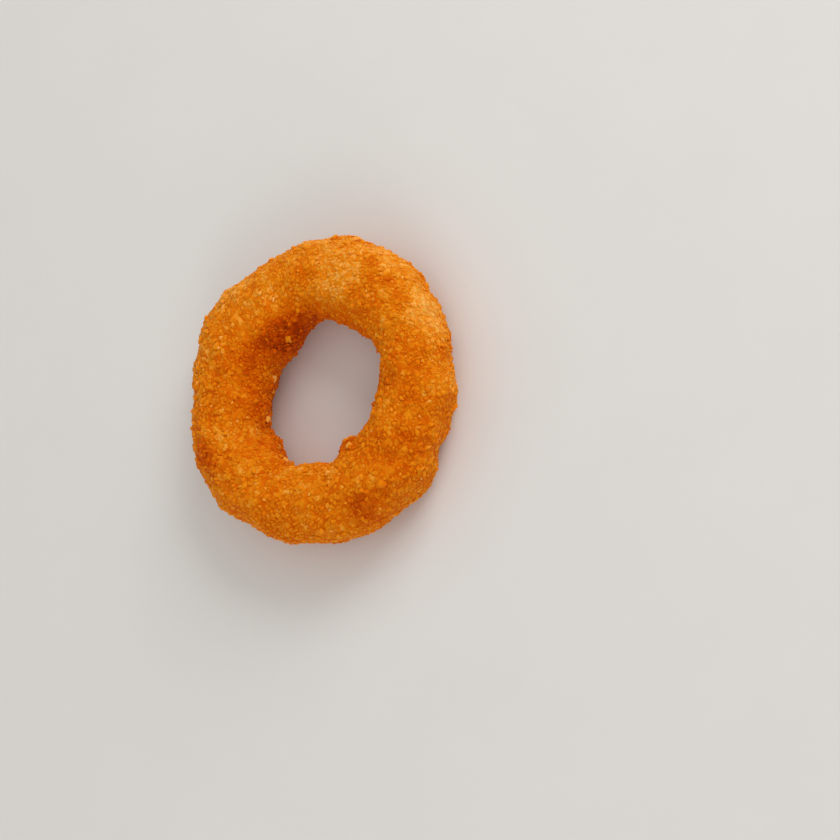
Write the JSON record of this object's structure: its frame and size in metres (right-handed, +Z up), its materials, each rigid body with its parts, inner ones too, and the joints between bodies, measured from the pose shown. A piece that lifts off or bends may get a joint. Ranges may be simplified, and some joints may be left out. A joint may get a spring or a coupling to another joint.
{
  "type": "onion ring",
  "caption": "Breaded and fried onion ring, lying flat: an uneven round ring with a craggy golden crumb crust and an open hole.",
  "frame": {"origin": "on the surface that the ring lies on, under the middle of its bounding box", "axes": "+X along the ring's longest diameter, +Y across it, +Z up, out of the side that shows"},
  "size_m": [0.0734, 0.069, 0.0182],
  "materials": {
    "crumb_crust": "matte"
  },
  "bodies": {
    "root": {"onion_ring": "crumb_crust"}
  },
  "joints": []
}
